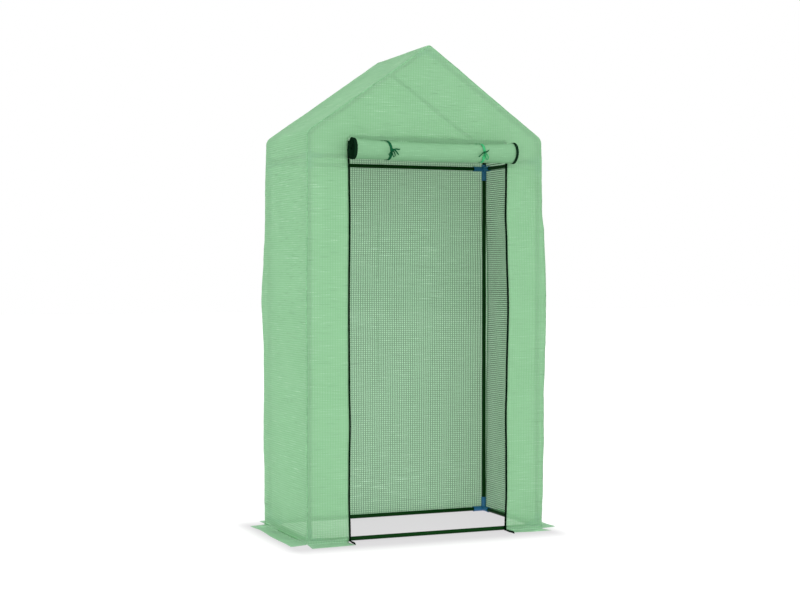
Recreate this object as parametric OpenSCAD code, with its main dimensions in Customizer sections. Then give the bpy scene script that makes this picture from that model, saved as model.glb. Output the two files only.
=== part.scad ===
// Small lean garden greenhouse: a push-fit steel tube frame with plastic corner sockets,
// a sewn woven cover with ground skirts, and a front door that rolls up between two zips.
// Frame: origin on the ground under the middle, +X to the right, +Y to the back, +Z up.

/* [Overall] */
// Outside width of the cover, across the front
cover_w = 1000; // [900:10:1200]
// Outside depth of the cover, from front to back
cover_d = 520; // [460:10:700]
// Height where the outside planes of wall and roof would meet
eave_h = 1578; // [1560:2:1650]
// Height where the outside planes of the two roof slopes would meet
ridge_h = 1926; // [1880:2:2100]
// Height of the rails under the eaves, to the middle of the tube
rail_h = 1486; // [1440:2:1486]

/* [Frame] */
// Outside diameter of the steel tubes
tube_d = 16; // [14:0.5:16]
// Wall thickness of the steel tubes
tube_wall = 0.6; // [0.5:0.1:1.2]
// Outside diameter of the sockets on the plastic connectors
socket_d = 22; // [21:0.5:24]
// Length of a connector's leg, from the connector's centre
leg_len = 50; // [40:1:52]
// Radius of the bend in each rafter, to the middle of the tube
bend_r = 24; // [20:1:28]

/* [Cover] */
// Thickness of the cover's cloth
cloth_t = 1.2; // [0.8:0.1:1.5]
// Width of the skirts that lie on the ground
skirt_w = 80; // [60:5:120]

/* [Door] */
// Width of the doorway, over its zip tapes
door_w = 676; // [560:2:700]
// Distance of the doorway's middle to the right of the cover's
door_x = 6; // [-20:1:20]
// Height of the doorway
door_h = 1556; // [1556:1:1560]
// Diameter of the rolled-up door
roll_d = 84; // [76:2:90]
// Number of turns in the rolled-up door
roll_turns = 9; // [6:1:9]
// Width of the ribbons that tie the roll up
tie_w = 10; // [6:1:16]
// Distance from the doorway's middle to each ribbon
tie_x = 202; // [100:1:260]

/* [Hidden] */
$fn = 64;

// Colours of the materials
steel_green = [0.03, 0.16, 0.06];
socket_blue = [0.05, 0.35, 0.62];
cloth_green = [0.56, 0.79, 0.60];
zip_black = [0.03, 0.03, 0.03];
ribbon_green = [0.12, 0.50, 0.30];

// Gaps between parts
fit_gap = 0.05; // radial gap of a tube in a socket
cloth_gap = 0.3; // gap between the connectors and the cloth
body_gap = 0.4; // gap between parts that move past each other

// Middle lines of the frame
cloth_in = socket_d / 2 + cloth_gap;
cloth_out = cloth_in + cloth_t;
slope = atan2(ridge_h - eave_h, cover_w / 2);
post_x = cover_w / 2 - cloth_out;
post_y = cover_d / 2 - cloth_out;
base_z = socket_d / 2;
ridge_z = ridge_h - cloth_out / cos(slope);
bend_x = post_x - bend_r;
bend_z = ridge_z - bend_x * tan(slope) - bend_r / cos(slope);
rafter_run = (bend_x + bend_r * sin(slope)) / cos(slope);

// Rafters
collar_proud = 0.02; // how far the collars that join a rafter's sections stand out
collar_len = 0.4;

// Sockets
tube_seat = 14; // distance of a tube's end from the connector's centre
socket_rim = 5; // length of the thick rim at a socket's mouth
socket_body_d = socket_d - 1.6; // outside diameter of a leg behind its rim
short_leg_len = 18; // length of the legs that take the rafters
short_seat = 8; // distance of a rafter's end from the connector's centre

// Posts, each in two lengths
tube_bore = tube_d - 2 * tube_wall;
post_split = (base_z + rail_h) / 2;
spigot_len = 40;
spigot_d = tube_bore - 2 * fit_gap;

// Cover
front_y = -cover_d / 2;
wall_foot = 2; // height of the walls' lower edges above the ground
wall_y = cover_d / 2 - cloth_t;

// Zips
tape_w = 4;
tape_proud = 1.6; // how far a tape stands out from the cover
slider_w = 10;
slider_h = 22;
slider_t = 5;
slider_z = 1478; // lower end of a slider
slider_back = front_y - tape_proud - body_gap;
ear_t = 1.6; // thickness of a slider's ears
ear_h = 5;
ear_nose = 2; // how far an ear reaches past the pin
pull_pin_r = 1;
pull_pin_y = slider_back - slider_t - 2.4;
pull_pin_z = slider_z + slider_h - 6;
pull_len = 18;
pull_w = 5;
pull_t = 1.6;
pull_eye_r = 2;
pull_hole_r = 1.2; // hole near a pull's lower end
pull_hole_z = 4; // height of the hole above that end

// Door
roll_len = door_w - 12; // between the zip sliders
roll_z = 1513;
sewn_gap = 0.1; // gap between pieces of cloth that are sewn together
curtain_front = front_y - sewn_gap - cloth_t;
roll_y = front_y - tape_proud - body_gap - roll_d / 2;
roll_core_r = 7;
header_lap = 10; // overlap of the door on the cover above the doorway

// Ties
tie_t = 1.2;
tie_from = 93; // where the ribbon meets the roll, as an angle from the back
tie_to = 330; // where it leaves the roll for the back of the doorway
tie_turn = -6; // where it turns up behind the doorway, above the roll's middle
tie_sewn = 44; // height of its sewn outer end above the roll's middle
tie_hem = 12; // how much higher its inner end is sewn
bow_reach = 9; // distance between the bow's knot and its loops
knot_r = 4.5;
loop_r = 5.5;

// Points of an arc around c, from angle a0 to a1, in n steps
function arc(c, r, a0, a1, n) =
    [for (i = [0:n]) let (a = a0 + (a1 - a0) * i / n) [c[0] + r * cos(a), c[1] + r * sin(a)]];

function backwards(points) = [for (i = [len(points) - 1:-1:0]) points[i]];

function mirrored(points) = [for (p = backwards(points)) [-p[0], p[1]]];

// Right half of the house's outline at distance k outside the frame's middle lines
function roof_line(k) = concat(
    arc([0, ridge_z], k, 90, 90 - slope, 6),
    arc([bend_x, bend_z], bend_r + k, 90 - slope, 0, 14)
);

function half_outline(k) = concat(roof_line(k), [[post_x + k, wall_foot]]);

// Turn of the rolled cloth, for angles up to 0 at its outer end
function roll_radius(a) =
    roll_d / 2 + (roll_d / 2 - roll_core_r) * a / (360 * roll_turns);

function roll_turn(inset) = [
    for (a = [-360 * roll_turns:12:0]) let (r = roll_radius(a) - inset) [r * cos(a), r * sin(a)]
];

// Straight tube along +Z
module tube(length) {
    difference() {
        cylinder(d = tube_d, h = length);
        translate([0, 0, -1]) cylinder(d = tube_bore, h = length + 2);
    }
}

// Straight tube along +X, centred
module cross_tube(length) {
    translate([-length / 2, 0, 0]) rotate([0, 90, 0]) tube(length);
}

// Straight tube along +Y, centred
module deep_tube(length) {
    translate([0, length / 2, 0]) rotate([90, 0, 0]) tube(length);
}

// One leg of a connector along +Z, solid
module leg(length) {
    cylinder(d = socket_body_d, h = length);
    translate([0, 0, length - socket_rim]) cylinder(d = socket_d, h = socket_rim);
}

// The bore of a leg, from where its tube is seated
module leg_bore(seat) {
    translate([0, 0, seat]) cylinder(d = tube_d + 2 * fit_gap, h = leg_len);
}

// Connector with a round hub and a leg along each of the given rotations of +Z, and with a short leg
// along +Z itself where it takes a rafter
module connector(turns, takes_rafter = false) {
    color(socket_blue)
    difference() {
        union() {
            sphere(d = socket_d);
            for (t = turns) rotate(t) leg(leg_len);
            if (takes_rafter) leg(short_leg_len);
        }
        for (t = turns) rotate(t) leg_bore(tube_seat);
        if (takes_rafter) leg_bore(short_seat);
    }
}

// Puts its children at a corner: sx is 1 at the right and -1 at the left, sy 1 at the back
module at_corner(sx, sy, z) {
    translate([sx * post_x, sy * post_y, z]) mirror([sx > 0 ? 0 : 1, 0, 0]) mirror([0, sy > 0 ? 0 : 1, 0])
        children();
}

module base_tube_x(sy) {
    color(steel_green) translate([0, sy * post_y, base_z]) cross_tube(2 * (post_x - tube_seat));
}

module base_tube_y(sx) {
    color(steel_green) translate([sx * post_x, 0, base_z]) deep_tube(2 * (post_y - tube_seat));
}

module base_connector(sx, sy) {
    at_corner(sx, sy, base_z) connector([[0, 0, 0], [0, -90, 0], [90, 0, 0]]);
}

// Lower post, with a reduced end that fits inside the upper one
module lower_post(sx, sy) {
    length = post_split - base_z - tube_seat;
    color(steel_green) at_corner(sx, sy, base_z + tube_seat)
    difference() {
        union() {
            cylinder(d = tube_d, h = length);
            cylinder(d = spigot_d, h = length + spigot_len);
        }
        translate([0, 0, -1]) cylinder(d = tube_bore, h = length - 2);
        cylinder(d = spigot_d - 2 * tube_wall, h = length + spigot_len + 1);
    }
}

module upper_post(sx, sy) {
    color(steel_green) at_corner(sx, sy, post_split) tube(rail_h - tube_seat - post_split);
}

module eave_connector(sx, sy) {
    at_corner(sx, sy, rail_h) connector([[180, 0, 0], [0, -90, 0], [90, 0, 0]], true);
}

module eave_rail_x(sy) {
    color(steel_green) translate([0, sy * post_y, rail_h]) cross_tube(2 * (post_x - tube_seat));
}

module eave_rail_y(sx) {
    color(steel_green) translate([sx * post_x, 0, rail_h]) deep_tube(2 * (post_y - tube_seat));
}

// Bar that goes up, round the rafter's bend and along the slope; the collars join its sections
module bent_bar(d, extra) {
    bend_turn = 90 - slope;
    first = rail_h + short_seat;
    translate([0, 0, first - extra]) cylinder(d = d, h = bend_z - first + extra);
    translate([-bend_r, 0, bend_z]) {
        rotate([90, 0, 0]) rotate_extrude(angle = bend_turn) translate([bend_r, 0]) circle(d = d);
        rotate([0, -bend_turn, 0]) translate([bend_r, 0, 0])
            cylinder(d = d, h = rafter_run - tube_seat + extra);
        for (t = [0, -bend_turn]) rotate([0, t, 0]) translate([bend_r, 0, -collar_len / 2])
            cylinder(d = d + 2 * collar_proud, h = collar_len);
    }
}

// Rafter: up out of the eave connector, round the bend and up the slope to the ridge connector
module rafter(sx, sy) {
    color(steel_green) at_corner(sx, sy, 0)
    difference() {
        bent_bar(tube_d, 0);
        bent_bar(tube_bore, 1);
    }
}

module ridge_connector(sy) {
    translate([0, sy * post_y, ridge_z]) mirror([0, sy > 0 ? 0 : 1, 0])
        connector([[0, 90 + slope, 0], [0, -90 - slope, 0], [90, 0, 0]]);
}

module ridge_tube() {
    color(steel_green) translate([0, 0, ridge_z]) deep_tube(2 * (post_y - tube_seat));
}

// Extrudes an outline, drawn in X and Z, from y to y + depth
module upright(y, depth) {
    translate([0, y + depth, 0]) rotate([90, 0, 0]) linear_extrude(height = depth) children();
}

// Whole gable-ended panel
module end_panel(y) {
    right = half_outline(cloth_out);
    upright(y, cloth_t) polygon(concat(right, mirrored(right)));
}

module cover_front() {
    color(cloth_green)
    difference() {
        end_panel(front_y);
        translate([door_x - door_w / 2, front_y - 1, -1]) cube([door_w, cloth_t + 2, door_h + 1]);
    }
}

module cover_back() {
    color(cloth_green) end_panel(wall_y);
}

module cover_wall(sx) {
    color(cloth_green) mirror([sx > 0 ? 0 : 1, 0, 0])
        translate([post_x + cloth_in, -wall_y, wall_foot]) cube([cloth_t, 2 * wall_y, bend_z - wall_foot]);
}

module cover_roof(sx) {
    color(cloth_green) mirror([sx > 0 ? 0 : 1, 0, 0])
        upright(-wall_y, 2 * wall_y) polygon(concat(roof_line(cloth_out), backwards(roof_line(cloth_in))));
}

// Skirt on the ground in front of the line from x = 0 to x = length, hinged along that line
module skirt_strip(length) {
    color(cloth_green) translate([0, -skirt_w - cloth_gap, 0]) cube([length, skirt_w, cloth_t]);
}

module skirt_side(sx) {
    translate([sx * cover_w / 2, -sx * cover_d / 2, 0]) rotate([0, 0, sx * 90]) skirt_strip(cover_d);
}

module skirt_back() {
    translate([cover_w / 2, cover_d / 2, 0]) rotate([0, 0, 180]) skirt_strip(cover_w);
}

module skirt_front(sx) {
    inner_end = sx * door_x + door_w / 2 + 2 * tape_proud;
    mirror([sx > 0 ? 0 : 1, 0, 0]) translate([inner_end, front_y, 0])
        skirt_strip(cover_w / 2 - inner_end);
}

// Puts its children at a side of the doorway, with +X away from the opening
module beside_door(sx) {
    translate([door_x + sx * door_w / 2, 0, 0]) mirror([sx > 0 ? 0 : 1, 0, 0]) children();
}

module zip_tape(sx) {
    color(zip_black) beside_door(sx) translate([-tape_w, front_y - tape_proud, wall_foot])
        cube([tape_w, tape_proud + cloth_t, door_h - wall_foot]);
}

// Slider: a block with two ears that hold the pin of the pull
module zip_slider(sx) {
    ear_x = pull_w / 2 + body_gap;
    color(zip_black) beside_door(sx) {
        translate([-slider_w / 2, slider_back - slider_t, slider_z]) cube([slider_w, slider_t, slider_h]);
        for (x = [-ear_x - ear_t, ear_x]) translate([x, pull_pin_y - ear_nose, pull_pin_z - ear_h / 2])
            cube([ear_t, slider_back - slider_t - pull_pin_y + ear_nose, ear_h]);
        translate([-ear_x - ear_t, pull_pin_y, pull_pin_z]) rotate([0, 90, 0])
            cylinder(r = pull_pin_r, h = 2 * (ear_x + ear_t));
    }
}

// Pull: a flat tab with an eye on the slider's pin and a hole near its lower end
module zip_pull(sx) {
    color(zip_black) beside_door(sx) translate([0, pull_pin_y, pull_pin_z])
    difference() {
        union() {
            translate([-pull_w / 2, 0, 0]) rotate([0, 90, 0]) cylinder(r = pull_eye_r, h = pull_w);
            translate([-pull_w / 2, -pull_t / 2, -pull_len]) cube([pull_w, pull_t, pull_len]);
        }
        translate([-pull_w, 0, 0]) rotate([0, 90, 0]) cylinder(r = pull_pin_r + fit_gap, h = 2 * pull_w);
        translate([0, -pull_t, pull_hole_z - pull_len]) rotate([-90, 0, 0])
            cylinder(r = pull_hole_r, h = 2 * pull_t);
    }
}

// Extrudes an outline, drawn in Y and Z around the roll's middle line, from x to x + width
module across_roll(x, width) {
    translate([door_x + x, roll_y, roll_z]) rotate([90, 0, 90]) linear_extrude(height = width) children();
}

module door_roll() {
    color(cloth_green) across_roll(-roll_len / 2, roll_len)
        polygon(concat(roll_turn(0), backwards(roll_turn(cloth_t))));
}

// Flat length of the door between its seam and the roll
module door_curtain() {
    color(cloth_green) translate([door_x - roll_len / 2, curtain_front, roll_z])
        cube([roll_len, cloth_t, door_h + header_lap - roll_z]);
}

// Ribbon sewn outside and inside the cover above the doorway, round the roll, with its bow in front
module tie(sx) {
    inner_r = roll_d / 2 + body_gap;
    outer_r = inner_r + tie_t;
    outside = curtain_front - sewn_gap - roll_y;
    inside = front_y + cloth_t + cloth_gap - roll_y;
    near_side = concat(
        [[outside, tie_sewn]], arc([0, 0], inner_r, tie_from, tie_to, 40),
        [[inside, tie_turn], [inside, tie_sewn + tie_hem]]
    );
    far_side = concat(
        [[outside, tie_sewn + 3 * tie_t]], arc([0, 0], outer_r, tie_from, tie_to, 40),
        [[inside + tie_t, tie_turn - tie_t], [inside + tie_t, tie_sewn + tie_hem]]
    );
    color(ribbon_green) {
        across_roll(sx * tie_x - tie_w / 2, tie_w) polygon(concat(far_side, backwards(near_side)));
        for (s = [-1, 0, 1])
            translate([door_x + sx * tie_x + s * bow_reach, roll_y - outer_r - knot_r / 2, roll_z])
                sphere(r = s == 0 ? knot_r : loop_r);
    }
}

base_tube_x(-1);  // base_tube_front
base_tube_x(1);  // base_tube_back
base_tube_y(-1);  // base_tube_left
base_tube_y(1);  // base_tube_right
base_connector(-1, -1);  // base_connector_front_left
base_connector(1, -1);  // base_connector_front_right
base_connector(-1, 1);  // base_connector_back_left
base_connector(1, 1);  // base_connector_back_right
lower_post(-1, -1);  // lower_post_front_left
lower_post(1, -1);  // lower_post_front_right
lower_post(-1, 1);  // lower_post_back_left
lower_post(1, 1);  // lower_post_back_right
upper_post(-1, -1);  // upper_post_front_left
upper_post(1, -1);  // upper_post_front_right
upper_post(-1, 1);  // upper_post_back_left
upper_post(1, 1);  // upper_post_back_right
eave_connector(-1, -1);  // eave_connector_front_left
eave_connector(1, -1);  // eave_connector_front_right
eave_connector(-1, 1);  // eave_connector_back_left
eave_connector(1, 1);  // eave_connector_back_right
eave_rail_x(-1);  // eave_rail_front
eave_rail_x(1);  // eave_rail_back
eave_rail_y(-1);  // eave_rail_left
eave_rail_y(1);  // eave_rail_right
rafter(-1, -1);  // rafter_front_left
rafter(1, -1);  // rafter_front_right
rafter(-1, 1);  // rafter_back_left
rafter(1, 1);  // rafter_back_right
ridge_connector(-1);  // ridge_connector_front
ridge_connector(1);  // ridge_connector_back
ridge_tube();
cover_front();
cover_back();
cover_wall(-1);  // cover_wall_left
cover_wall(1);  // cover_wall_right
cover_roof(-1);  // cover_roof_left
cover_roof(1);  // cover_roof_right
skirt_side(-1);  // skirt_left
skirt_side(1);  // skirt_right
skirt_back();
skirt_front(-1);  // skirt_front_left
skirt_front(1);  // skirt_front_right
zip_tape(-1);  // zip_tape_left
zip_tape(1);  // zip_tape_right
zip_slider(-1);  // zip_slider_left
zip_slider(1);  // zip_slider_right
zip_pull(-1);  // zip_pull_left
zip_pull(1);  // zip_pull_right
door_curtain();
door_roll();
tie(-1);  // tie_left
tie(1);  // tie_right
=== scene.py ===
"""Visual model of a lean garden greenhouse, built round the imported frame.

Everything is in metres in the frame's own axes: +X to the right, +Y to the back, +Z up, and the doorway
faces -Y. The cover is a light green scrim-reinforced sheet that hangs loosely on the tube frame, with a
door rolled up between two zips and tied with ribbons.
"""

import math
from bisect import bisect_left
from itertools import accumulate

import bmesh
import bpy
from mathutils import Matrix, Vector, noise


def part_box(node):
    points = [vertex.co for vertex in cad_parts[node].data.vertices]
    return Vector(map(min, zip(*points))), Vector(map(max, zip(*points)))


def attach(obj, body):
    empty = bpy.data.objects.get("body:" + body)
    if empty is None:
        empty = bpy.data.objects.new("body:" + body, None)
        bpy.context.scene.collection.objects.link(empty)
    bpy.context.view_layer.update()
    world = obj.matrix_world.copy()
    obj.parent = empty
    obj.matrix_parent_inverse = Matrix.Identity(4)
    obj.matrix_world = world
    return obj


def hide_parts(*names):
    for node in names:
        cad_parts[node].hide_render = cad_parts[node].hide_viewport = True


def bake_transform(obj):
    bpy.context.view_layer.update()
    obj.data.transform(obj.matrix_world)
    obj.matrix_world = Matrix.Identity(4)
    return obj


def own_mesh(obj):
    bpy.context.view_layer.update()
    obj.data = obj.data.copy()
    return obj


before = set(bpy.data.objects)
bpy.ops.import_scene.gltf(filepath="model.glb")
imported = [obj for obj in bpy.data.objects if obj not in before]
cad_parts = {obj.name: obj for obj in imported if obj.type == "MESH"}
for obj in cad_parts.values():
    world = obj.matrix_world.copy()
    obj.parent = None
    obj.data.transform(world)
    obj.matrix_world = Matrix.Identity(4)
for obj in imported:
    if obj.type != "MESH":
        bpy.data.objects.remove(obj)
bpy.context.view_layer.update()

# --- sizes ---

ROOT = "frame_and_cover"

front_low, front_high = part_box("cover_front")
post_low, post_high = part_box("upper_post_front_right")
rail_low, rail_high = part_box("eave_rail_front")
tape_left_low, tape_left_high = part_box("zip_tape_left")
tape_right_low, tape_right_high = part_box("zip_tape_right")
roll_low, roll_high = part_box("door_roll")
curtain_low, curtain_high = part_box("door_curtain")

HALF_W = front_high[0]
FRONT_Y = front_low[1]
BACK_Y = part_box("cover_back")[1][1]
POST_X = (post_low[0] + post_high[0]) / 2
RAIL_Z = (rail_low[2] + rail_high[2]) / 2

EAVE_H = 1.578  # where the outside planes of wall and roof would meet
RIDGE_H = 1.926  # where the outside planes of the two slopes would meet
BEND_R = 0.024  # bend of the rafters, to the middle of the tube
K_OUT = HALF_W - POST_X  # from the tubes' middle lines to the outside of the cover
SLOPE = math.atan2(RIDGE_H - EAVE_H, HALF_W)
RIDGE_Z = RIDGE_H - K_OUT / math.cos(SLOPE)
BEND_X = POST_X - BEND_R
BEND_Z = RIDGE_Z - BEND_X * math.tan(SLOPE) - BEND_R / math.cos(SLOPE)

CORNER_R = 0.011  # rounding of the cover over the end frames' tubes
K_IN = K_OUT - CORNER_R
FOOT_Z = 0.003  # lower edge of the walls
CLOTH_T = 0.0006
WARP_PITCH = 0.0103  # from one upright thread of the reinforcing scrim to the next
WEFT_PITCH = 0.0086  # from one level thread to the next
WARP_W, WEFT_W = 0.0030, 0.0028  # width of the upright and of the level threads

DOOR_X = (tape_left_high[0] + tape_right_low[0]) / 2
DOOR_HALF = (tape_right_high[0] - tape_left_low[0]) / 2
DOOR_H = tape_left_high[2]
DOOR_LEFT = DOOR_X - DOOR_HALF
DOOR_RIGHT = DOOR_X + DOOR_HALF

ROLL_Y = (roll_low[1] + roll_high[1]) / 2
ROLL_R = 0.042
ROLL_CORE_R = 0.007
ROLL_TURNS = 10
ROLL_Z = curtain_low[2]
ROLL_STRAY = 0.0135  # how far the zip-edged ends of the roll stray past the sliders
ROLL_X0, ROLL_X1 = roll_low[0] - ROLL_STRAY, roll_high[0] + ROLL_STRAY
ROLL_FLARE = 0.326  # distance from the middle where its ends begin to widen and to lean out over the sliders
CURTAIN_Y = (curtain_low[1] + curtain_high[1]) / 2
CURTAIN_TOP = curtain_high[2]
TIE_X = (DOOR_X - 0.202, DOOR_X + 0.202)

RIGHTWARD = Vector((1, 0, 0))
FORWARD = Vector((0, -1, 0))
UPWARD = Vector((0, 0, 1))

# Shade painted on the floor under and beside the object: axis, middle, half size, width of its soft edge.
PAINTED_FLOOR_SHADE = (("X", -0.035, 0.525, 0.095), ("Y", -0.050, 0.28, 0.18))

# --- small helpers ---


def smooth(t):
    """Smooth step from 0 to 1."""
    t = min(max(t, 0.0), 1.0)
    return t * t * (3 - 2 * t)


def along(stops, t):
    """Smooth curve through (place, value) stops."""
    if t <= stops[0][0]:
        return stops[0][1]
    for (a, va), (b, vb) in zip(stops, stops[1:]):
        if t <= b:
            return va + (vb - va) * smooth((t - a) / (b - a))
    return stops[-1][1]


def wave(x, y, z):
    """Smooth noise from -1 to 1."""
    return noise.noise(Vector((x, y, z)))


def spaced(a, b, step):
    """Even places from a up to, not including, b."""
    n = max(1, round(abs(b - a) / step))
    return [a + (b - a) * i / n for i in range(n)]


def new_object(name, vertices, faces, material, smooth_faces=True):
    """Mesh object; material is one material or a list of them."""
    mesh = bpy.data.meshes.new(name)
    mesh.from_pydata([tuple(v) for v in vertices], [], faces)
    mesh.validate()
    obj = bpy.data.objects.new(name, mesh)
    bpy.context.collection.objects.link(obj)
    for m in material if isinstance(material, list) else [material]:
        mesh.materials.append(m)
    mesh.polygons.foreach_set("use_smooth", [smooth_faces] * len(mesh.polygons))
    return obj


def thicken(obj, inner_material=False, offset=-1.0):
    """Gives a single sheet its thickness, away from the side that its faces look to."""
    m = obj.modifiers.new("thickness", "SOLIDIFY")
    m.thickness = CLOTH_T
    m.offset = offset
    m.use_even_offset = False
    m.material_offset = 1 if inner_material else 0
    depsgraph = bpy.context.evaluated_depsgraph_get()
    depsgraph.update()
    mesh = bpy.data.meshes.new_from_object(obj.evaluated_get(depsgraph))
    obj.modifiers.clear()
    obj.data = mesh
    return obj


def flat_places(obj, places):
    """Stores where each vertex lies on the flat cloth, in metres, for the weave."""
    attribute = obj.data.attributes.new("flat", "FLOAT_VECTOR", "POINT")
    attribute.data.foreach_set("vector", [c for p in places for c in (p[0], p[1], 0.0)])


def grid_faces(rows, columns, keep=lambda i, j: True):
    """Faces of a grid whose vertex (i, j) has the number i * columns + j."""
    starts = [i * columns + j for i in range(rows - 1) for j in range(columns - 1) if keep(i, j)]
    return [(v, v + columns, v + columns + 1, v + 1) for v in starts]


def turn_out(obj, outward, recalculate=False):
    """Drops obj's unused vertices, and turns its faces over where outward(face), summed up, is below 0."""
    b = bmesh.new()
    b.from_mesh(obj.data)
    bmesh.ops.delete(b, geom=[v for v in b.verts if not v.link_faces], context="VERTS")
    if recalculate:
        bmesh.ops.recalc_face_normals(b, faces=b.faces)
    if sum(outward(f) for f in b.faces) < 0:
        bmesh.ops.reverse_faces(b, faces=b.faces)
    b.to_mesh(obj.data)
    b.free()


def strip(name, path, across, out, width, thickness, material, crown=0.0):
    """Flat band of cloth along path: across[i] is its width's direction and out[i] its face's."""
    vertices, faces = [], []
    n = len(path)
    places = (-1, -0.5, 0, 0.5, 1)
    m = len(places)
    for p, a, o in zip(path, across, out):
        for side in (0, 1):
            for s in places:
                lift = crown * (1 - s * s)
                rise = thickness + lift if side == 0 else lift * 0.5
                vertices.append(p + a * (s * width / 2) + o * rise)
    ring = 2 * m
    last = (n - 1) * ring
    for start in range(0, last, ring):
        for a in range(start, start + m - 1):
            b = a + ring
            faces += [(a, a + 1, b + 1, b), (a + m + 1, a + m, b + m, b + m + 1)]
        a, b = start, start + ring
        faces += [(a, b, b + m, a + m), (b + m - 1, a + m - 1, b - 1, b + ring - 1)]
    faces += [(k, k + m, k + m + 1, k + 1) for k in range(m - 1)]
    faces += [(k + 1, k + m + 1, k + m, k) for k in range(last, last + m - 1)]
    return new_object(name, vertices, faces, material)


# --- materials ---


def principled(name, colour, roughness, **sockets):
    """New material, its node tree and its shader, with constants for the shader's other sockets."""
    m = bpy.data.materials.new(name)
    m.use_nodes = True
    shader = m.node_tree.nodes["Principled BSDF"]
    shader.inputs["Base Color"].default_value = (*colour, 1)
    shader.inputs["Roughness"].default_value = roughness
    for key, value in sockets.items():
        shader.inputs[key.replace("_", " ")].default_value = value
    return m, m.node_tree, shader


def feed(tree, node, **sockets):
    """Links sockets to the node's inputs of those names."""
    for key, value in sockets.items():
        tree.links.new(value, node.inputs[key.replace("_", " ")])


def math_node(tree, operation, a, b=None, clamp=False):
    """Output of a Math node; a and b are numbers or sockets."""
    n = tree.nodes.new("ShaderNodeMath")
    n.operation = operation
    n.use_clamp = clamp
    for i, value in enumerate((a, b)):
        if isinstance(value, (int, float)):
            n.inputs[i].default_value = value
        elif value is not None:
            tree.links.new(value, n.inputs[i])
    return n.outputs[0]


def plus(tree, a, b):
    return math_node(tree, "ADD", a, b)


def minus(tree, a, b, clamp=False):
    return math_node(tree, "SUBTRACT", a, b, clamp)


def times(tree, a, b, clamp=False):
    return math_node(tree, "MULTIPLY", a, b, clamp)


def mix_colour(tree, factor, a, b):
    """Colour between a and b, each a colour or a socket."""
    n = tree.nodes.new("ShaderNodeMix")
    n.data_type = "RGBA"
    for key, value in (("Factor", factor), ("A", a), ("B", b)):
        socket = next(s for s in n.inputs if s.name == key and (key == "Factor" or s.type == "RGBA"))
        if isinstance(value, tuple):
            socket.default_value = (*value, 1)
        else:
            tree.links.new(value, socket)
    return next(s for s in n.outputs if s.type == "RGBA")


def noise_node(tree, vector, scale, detail=2.0, roughness=0.5):
    """Soft noise from 0 to 1."""
    n = tree.nodes.new("ShaderNodeTexNoise")
    n.inputs["Scale"].default_value = scale
    n.inputs["Detail"].default_value = detail
    n.inputs["Roughness"].default_value = roughness
    feed(tree, n, Vector=vector)
    return n.outputs["Fac"]


def bump_node(tree, height, distance, strength, below=None):
    """Normal that makes height show as relief, on top of the relief below."""
    n = tree.nodes.new("ShaderNodeBump")
    n.inputs["Strength"].default_value = strength
    n.inputs["Distance"].default_value = distance
    feed(tree, n, Height=height)
    if below is not None:
        feed(tree, n, Normal=below)
    return n.outputs["Normal"]


def mix_shader(tree, factor, a, b):
    """Shader that is b where factor is 1, and a where it is 0."""
    n = tree.nodes.new("ShaderNodeMixShader")
    for socket, value in zip(n.inputs, (factor, a.outputs[0], b.outputs[0])):
        tree.links.new(value, socket)
    return n


def own_place(tree):
    """Where a point lies in its object's axes."""
    return tree.nodes.new("ShaderNodeTexCoord").outputs["Object"]


def split_xyz(tree, vector):
    """The vector's X, Y and Z, by name."""
    n = tree.nodes.new("ShaderNodeSeparateXYZ")
    feed(tree, n, Vector=vector)
    return n.outputs


def thread_mask(tree, place, pitch, width, wander):
    """1 on the threads that cross place every pitch, each width wide, 0 between them."""
    cell = math_node(tree, "FRACT", math_node(tree, "DIVIDE", plus(tree, place, wander), pitch))
    off = math_node(tree, "ABSOLUTE", minus(tree, cell, 0.5))
    return minus(tree, 1.6, times(tree, off, 2 * pitch / width), clamp=True)


def scrim(tree, across, up, solid, ribs):
    """The reinforcing threads, upright and level; ribs says how strongly each kind shows."""
    drift = 0.004
    wander = times(tree, minus(tree, noise_node(tree, solid, 5.0), 0.5), drift)
    warp = thread_mask(tree, across, WARP_PITCH, WARP_W, wander)
    weft = thread_mask(tree, up, WEFT_PITCH, WEFT_W, wander)
    return math_node(tree, "MAXIMUM", times(tree, warp, ribs[0]), times(tree, weft, ribs[1]))


def painted_fold_marks(tree, base, film, solid, cloud):
    """Base colour with short level marks of painted light and shade, standing for the small folds that
    pulling leaves in the film, and the marks' own pattern.
    """
    turned = tree.nodes.new("ShaderNodeMapping")
    turned.inputs["Rotation"].default_value = (0.0, 0.10, 0.0)
    turned.inputs["Scale"].default_value = (12.0, 12.0, 270.0)
    feed(tree, turned, Vector=solid)
    marks = noise_node(tree, turned.outputs[0], 1.0, 3.0, 0.6)
    taut = times(tree, minus(tree, cloud, 0.25, clamp=True), 22.0)
    painted_fold_light = times(tree, minus(tree, marks, 0.575, clamp=True), taut, clamp=True)
    painted_fold_shade = times(tree, minus(tree, 0.42, marks, clamp=True), taut, clamp=True)
    # painted highlight and painted shade of the small folds
    base = mix_colour(tree, painted_fold_light, base, tuple(min(1.0, c * 1.36 + 0.07) for c in film))
    return mix_colour(tree, painted_fold_shade, base, tuple(c * 0.72 for c in film)), marks


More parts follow.
